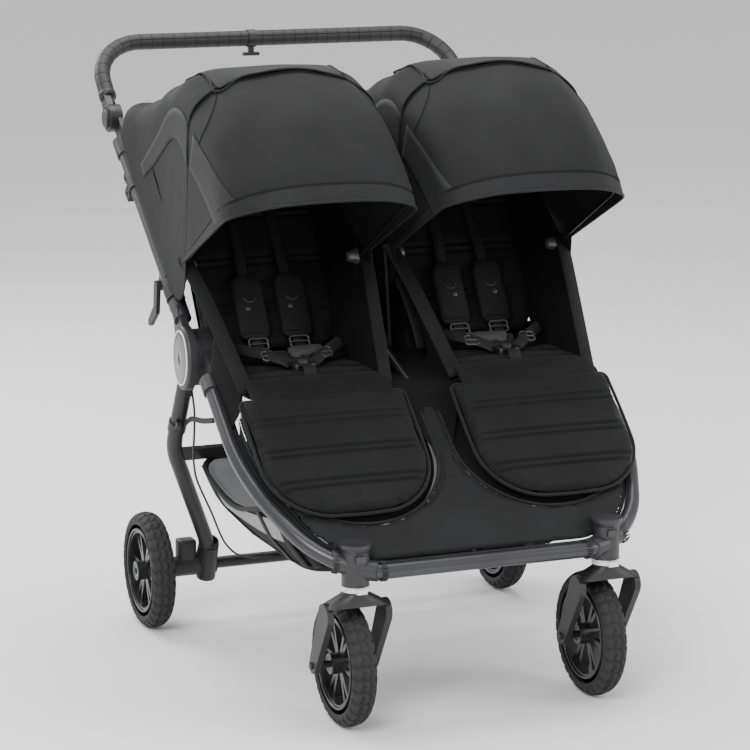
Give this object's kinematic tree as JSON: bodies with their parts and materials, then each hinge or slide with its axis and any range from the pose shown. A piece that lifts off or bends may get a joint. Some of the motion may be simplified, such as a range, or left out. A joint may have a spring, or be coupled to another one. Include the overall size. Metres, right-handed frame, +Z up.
{
  "type": "side-by-side stroller",
  "caption": "Side-by-side all-terrain stroller with a folding frame, padded seats under folding canopies, swivelling front wheels, a tilting handlebar and a storage basket.",
  "frame": {"origin": "on the floor, under the middle of the stroller's length and width", "axes": "+Y towards the handlebar, +X towards the pusher's left, +Z up"},
  "size_m": [0.764, 1.095, 1.077],
  "materials": {
    "frame_metal": "satin powder coat",
    "hard_plastic": "matte",
    "ring_plastic": "matte",
    "grip_foam": "matte",
    "steel_pin": "brushed",
    "cable_sheath": "satin",
    "canopy_cloth": "woven",
    "seat_cloth": "woven",
    "basket_cloth": "woven",
    "pad_cloth": "knitted",
    "tyre_rubber": "matte",
    "rim_plastic": "satin"
  },
  "bodies": {
    "front_frame": {"front_tube": "frame_metal", "front_housings": "hard_plastic", "front_hubs": "frame_metal", "centre_tube": "frame_metal", "seat_base_left": "seat_cloth", "seat_base_right": "seat_cloth", "seat_apron": "seat_cloth", "basket": "basket_cloth", "harness_buckles": "hard_plastic"},
    "upper_frame": {"upper_tubes": "frame_metal", "hub_covers": "hard_plastic", "upper_cross_tube": "frame_metal", "upper_centre_tube": "frame_metal", "canopy_mounts": "frame_metal", "handle_hinges": "hard_plastic", "accessory_brackets": "hard_plastic", "canopy_rear_left": "canopy_cloth", "canopy_rear_right": "canopy_cloth", "brake_mount": "frame_metal"},
    "rear_frame": {"rear_leg_left": "frame_metal", "rear_leg_right": "frame_metal", "axle_housings": "hard_plastic", "rear_axle": "frame_metal", "rear_cross_bar": "frame_metal", "brake_cable": "cable_sheath", "fold_catch": "hard_plastic"},
    "handle": {"handlebar_tube": "frame_metal", "handlebar_grip": "grip_foam", "strap_clip": "hard_plastic"},
    "brake_lever": {"brake_lever": "frame_metal"},
    "handle_button_left": {"handle_button_left": "hard_plastic"},
    "canopy_left": {"canopy_front_left": "canopy_cloth", "canopy_bow_left": "frame_metal"},
    "seat_back_left": {"seat_back_left": "seat_cloth", "harness_left": "pad_cloth"},
    "calf_rest_left": {"calf_rest_left": "seat_cloth"},
    "fork_left": {"fork_left": "hard_plastic"},
    "front_wheel_left": {"tyre_front_left": "tyre_rubber", "rim_front_left": "rim_plastic"},
    "rear_wheel_left": {"tyre_rear_left": "tyre_rubber", "rim_rear_left": "rim_plastic"},
    "swivel_lock_left": {"swivel_lock_left": "ring_plastic"},
    "wheel_release_left": {"wheel_release_left": "hard_plastic"},
    "brake_pin_left": {"brake_pin_left": "steel_pin"},
    "buckle_button_left": {"buckle_button_left": "hard_plastic"},
    "handle_button_right": {"handle_button_right": "hard_plastic"},
    "canopy_right": {"canopy_front_right": "canopy_cloth", "canopy_bow_right": "frame_metal"},
    "seat_back_right": {"seat_back_right": "seat_cloth", "harness_right": "pad_cloth"},
    "calf_rest_right": {"calf_rest_right": "seat_cloth"},
    "fork_right": {"fork_right": "hard_plastic"},
    "front_wheel_right": {"tyre_front_right": "tyre_rubber", "rim_front_right": "rim_plastic"},
    "rear_wheel_right": {"tyre_rear_right": "tyre_rubber", "rim_rear_right": "rim_plastic"},
    "swivel_lock_right": {"swivel_lock_right": "ring_plastic"},
    "wheel_release_right": {"wheel_release_right": "hard_plastic"},
    "brake_pin_right": {"brake_pin_right": "steel_pin"},
    "buckle_button_right": {"buckle_button_right": "hard_plastic"}
  },
  "joints": [
    {"name": "fold", "type": "hinge", "parent": "front_frame", "child": "upper_frame", "pos_m": [0, -0.0265, 0.558], "axis": [1, 0, 0], "range_deg": [0, 100], "deforming": ["canopy_front_left", "canopy_front_right", "canopy_rear_left", "canopy_rear_right", "canopy_bow_left", "canopy_bow_right", "seat_base_left", "seat_base_right", "seat_back_left", "seat_back_right", "harness_left", "harness_right", "calf_rest_left", "calf_rest_right", "seat_apron"]},
    {"name": "rear_fold", "type": "hinge", "parent": "front_frame", "child": "rear_frame", "pos_m": [0, -0.0265, 0.558], "axis": [1, 0, 0], "range_deg": [-44, 0], "deforming": ["basket"]},
    {"name": "handle_tilt", "type": "hinge", "parent": "upper_frame", "child": "handle", "pos_m": [0, 0.4025, 0.932], "axis": [1, 0, 0], "range_deg": [-75, 55]},
    {"name": "brake", "type": "hinge", "parent": "upper_frame", "child": "brake_lever", "pos_m": [-0.374, 0.0985, 0.66616], "axis": [1, 0, 0], "range_deg": [0, 25]},
    {"name": "handle_button_left", "type": "slide", "parent": "handle", "child": "handle_button_left", "axis": [-1, 0, 0], "range_m": [0, 0.004], "stiffness_N_per_m": 900},
    {"name": "canopy_left", "type": "hinge", "parent": "upper_frame", "child": "canopy_left", "pos_m": [0.196, -0.0105, 0.716], "axis": [1, 0, 0], "range_deg": [-55, 0], "deforming": ["canopy_front_left"]},
    {"name": "recline_left", "type": "hinge", "parent": "upper_frame", "child": "seat_back_left", "pos_m": [0.193, -0.0315, 0.545], "axis": [1, 0, 0], "range_deg": [-35, 0], "deforming": ["seat_back_left", "harness_left"]},
    {"name": "calf_rest_left", "type": "hinge", "parent": "front_frame", "child": "calf_rest_left", "pos_m": [0.193, -0.2375, 0.514], "axis": [1, 0, 0], "range_deg": [-40, 0]},
    {"name": "swivel_left", "type": "hinge", "parent": "front_frame", "child": "fork_left", "pos_m": [0.228, -0.4915, 0.2], "axis": [0, 0, 1], "continuous": true},
    {"name": "front_wheel_left", "type": "hinge", "parent": "fork_left", "child": "front_wheel_left", "pos_m": [0.228, -0.4395, 0.108], "axis": [1, 0, 0], "continuous": true},
    {"name": "rear_wheel_left", "type": "hinge", "parent": "rear_frame", "child": "rear_wheel_left", "pos_m": [0.356, 0.2315, 0.108], "axis": [1, 0, 0], "continuous": true},
    {"name": "swivel_lock_left", "type": "hinge", "parent": "front_frame", "child": "swivel_lock_left", "pos_m": [0.228, -0.4915, 0.25], "axis": [0, 0, 1], "range_deg": [-20, 20]},
    {"name": "wheel_release_left", "type": "slide", "parent": "front_frame", "child": "wheel_release_left", "axis": [0, 1, 0], "range_m": [0, 0.003], "stiffness_N_per_m": 900},
    {"name": "brake_pin_left", "type": "slide", "parent": "rear_frame", "child": "brake_pin_left", "axis": [1, 0, 0], "range_m": [0, 0.008]},
    {"name": "buckle_button_left", "type": "slide", "parent": "front_frame", "child": "buckle_button_left", "axis": [0, 0, -1], "range_m": [0, 0.002], "stiffness_N_per_m": 900},
    {"name": "handle_button_right", "type": "slide", "parent": "handle", "child": "handle_button_right", "axis": [1, 0, 0], "range_m": [0, 0.004], "stiffness_N_per_m": 900},
    {"name": "canopy_right", "type": "hinge", "parent": "upper_frame", "child": "canopy_right", "pos_m": [-0.196, -0.0105, 0.716], "axis": [1, 0, 0], "range_deg": [-55, 0], "deforming": ["canopy_front_right"]},
    {"name": "recline_right", "type": "hinge", "parent": "upper_frame", "child": "seat_back_right", "pos_m": [-0.193, -0.0315, 0.545], "axis": [1, 0, 0], "range_deg": [-35, 0], "deforming": ["seat_back_right", "harness_right"]},
    {"name": "calf_rest_right", "type": "hinge", "parent": "front_frame", "child": "calf_rest_right", "pos_m": [-0.193, -0.2375, 0.514], "axis": [1, 0, 0], "range_deg": [-40, 0]},
    {"name": "swivel_right", "type": "hinge", "parent": "front_frame", "child": "fork_right", "pos_m": [-0.228, -0.4915, 0.2], "axis": [0, 0, 1], "continuous": true},
    {"name": "front_wheel_right", "type": "hinge", "parent": "fork_right", "child": "front_wheel_right", "pos_m": [-0.228, -0.4395, 0.108], "axis": [1, 0, 0], "continuous": true},
    {"name": "rear_wheel_right", "type": "hinge", "parent": "rear_frame", "child": "rear_wheel_right", "pos_m": [-0.356, 0.2315, 0.108], "axis": [1, 0, 0], "continuous": true},
    {"name": "swivel_lock_right", "type": "hinge", "parent": "front_frame", "child": "swivel_lock_right", "pos_m": [-0.228, -0.4915, 0.25], "axis": [0, 0, 1], "range_deg": [-20, 20]},
    {"name": "wheel_release_right", "type": "slide", "parent": "front_frame", "child": "wheel_release_right", "axis": [0, 1, 0], "range_m": [0, 0.003], "stiffness_N_per_m": 900},
    {"name": "brake_pin_right", "type": "slide", "parent": "rear_frame", "child": "brake_pin_right", "axis": [-1, 0, 0], "range_m": [0, 0.008]},
    {"name": "buckle_button_right", "type": "slide", "parent": "front_frame", "child": "buckle_button_right", "axis": [0, 0, -1], "range_m": [0, 0.002], "stiffness_N_per_m": 900}
  ],
  "couplings": [
    {"joint": "rear_fold", "follows": "fold", "ratio": -0.43},
    {"joint": "brake_pin_left", "follows": "brake", "m_per_rad": 0.018105},
    {"joint": "brake_pin_right", "follows": "brake", "m_per_rad": 0.018105}
  ]
}
